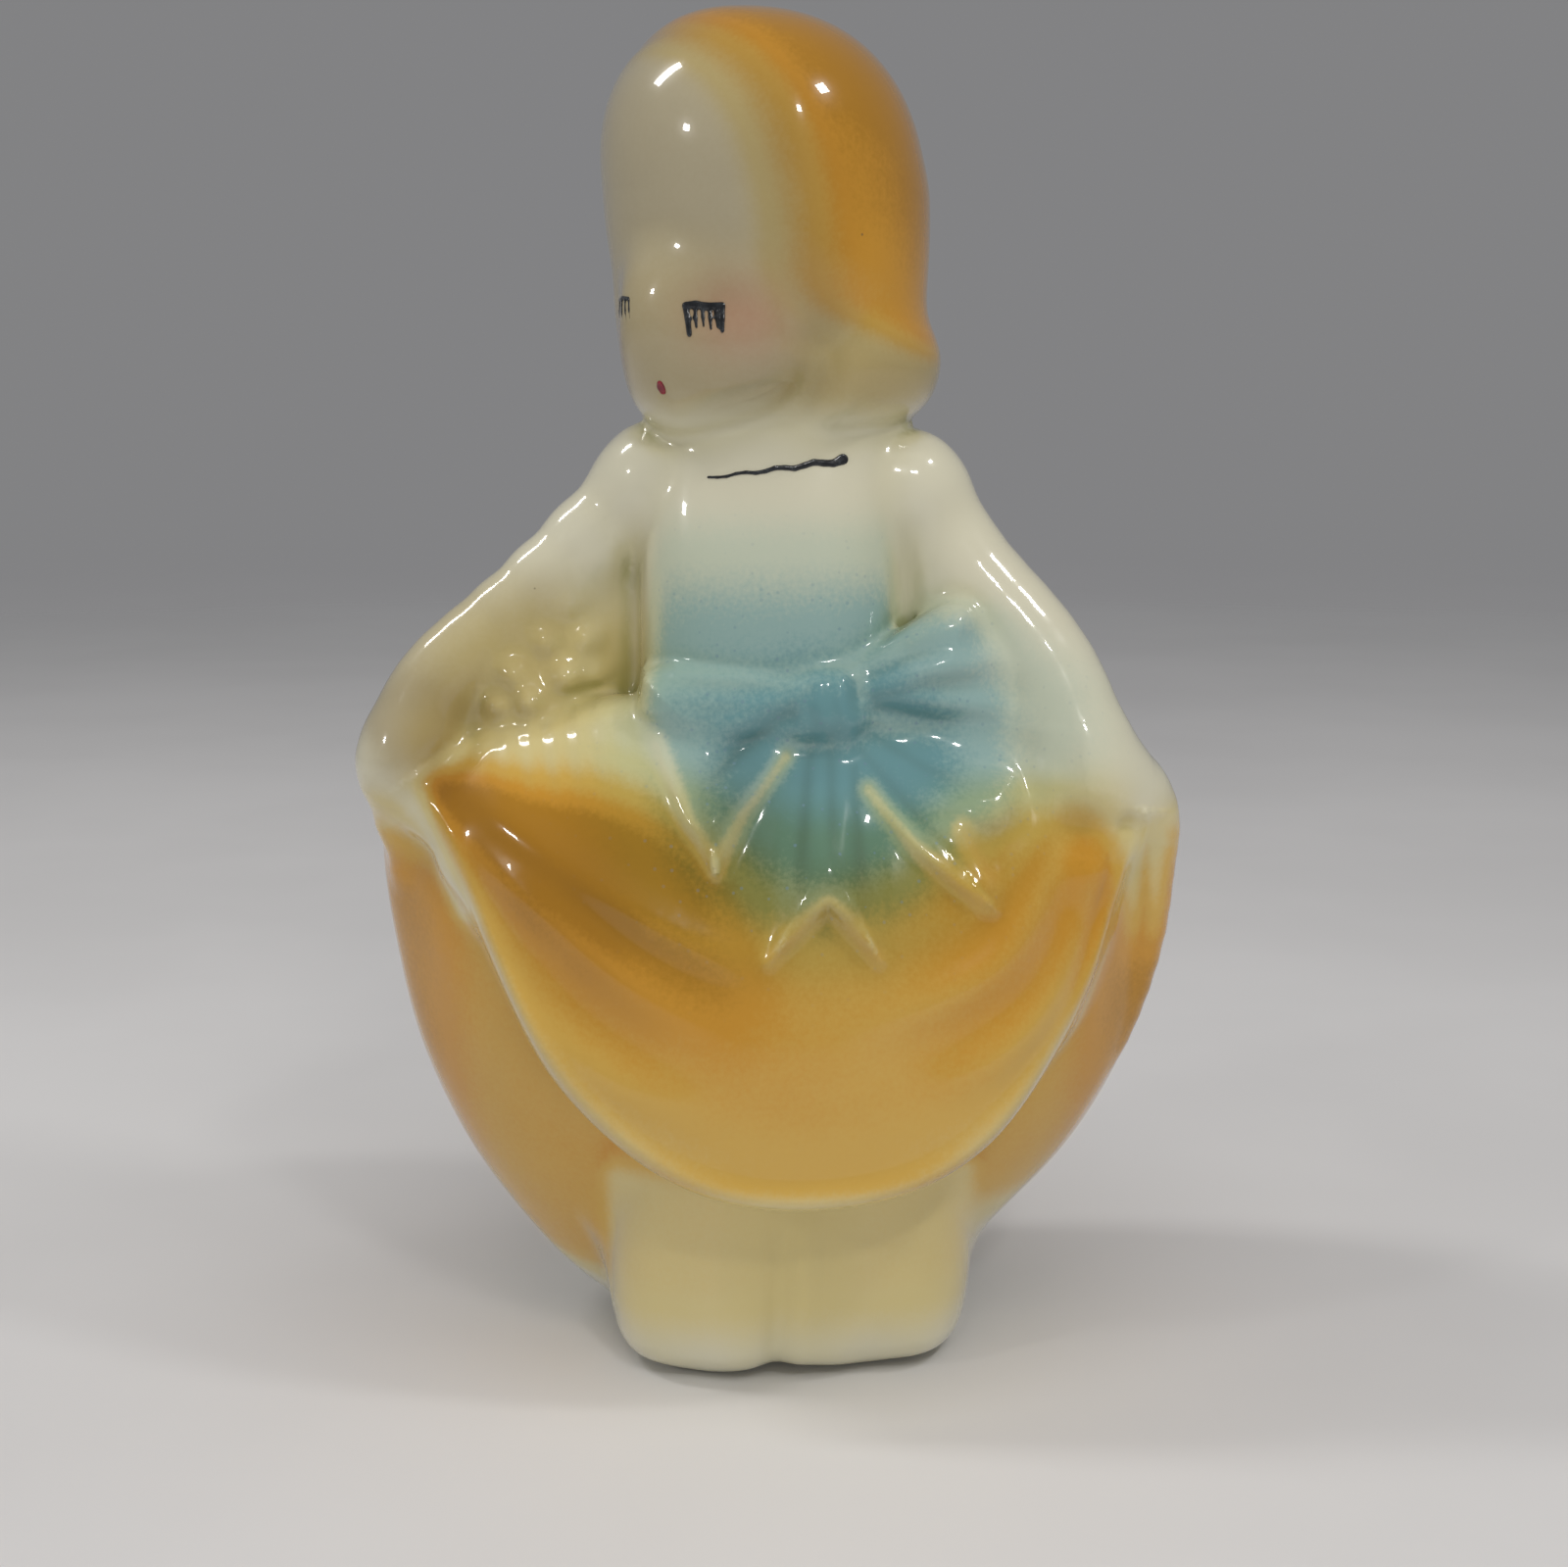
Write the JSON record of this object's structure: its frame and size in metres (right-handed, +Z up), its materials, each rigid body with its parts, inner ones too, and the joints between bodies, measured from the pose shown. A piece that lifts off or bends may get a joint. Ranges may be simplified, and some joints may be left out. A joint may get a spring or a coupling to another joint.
{
  "type": "figural planter",
  "caption": "Glazed ceramic planter: a girl in a long skirt who holds it out by the corners, her skirt a hollow pot that opens behind her.",
  "frame": {"origin": "middle of the object's bounding box, on the surface that it stands on", "axes": "+Z up; she faces -Y; her left hand is at +X"},
  "size_m": [0.109, 0.0759, 0.1799],
  "materials": {
    "cream_glaze": "clear gloss glaze over cream slip, pale on edges and darker where it pools",
    "gold_glaze": "golden yellow airbrushed under clear gloss glaze",
    "blue_glaze": "soft blue airbrushed under clear gloss glaze",
    "black_enamel": "brushed black enamel, slightly raised, glossy",
    "red_enamel": "brushed dark red enamel, slightly raised, glossy"
  },
  "bodies": {
    "root": {"planter_pot": "gold_glaze", "underskirt": "cream_glaze", "overskirt": "gold_glaze", "bodice": "cream_glaze", "head": "cream_glaze", "hair": "gold_glaze", "right_arm": "cream_glaze", "left_arm": "cream_glaze", "right_hand": "cream_glaze", "left_hand": "cream_glaze", "right_gusset": "cream_glaze", "left_gusset": "cream_glaze", "sash": "blue_glaze", "bow_knot": "blue_glaze", "bow_right_loop": "blue_glaze", "bow_left_loop": "blue_glaze", "bow_lower_loop": "blue_glaze", "bow_centre_tail": "blue_glaze", "bow_left_tail": "blue_glaze", "right_eyelashes": "black_enamel", "left_eyelashes": "black_enamel", "mouth": "red_enamel", "neckline": "black_enamel"}
  },
  "joints": []
}
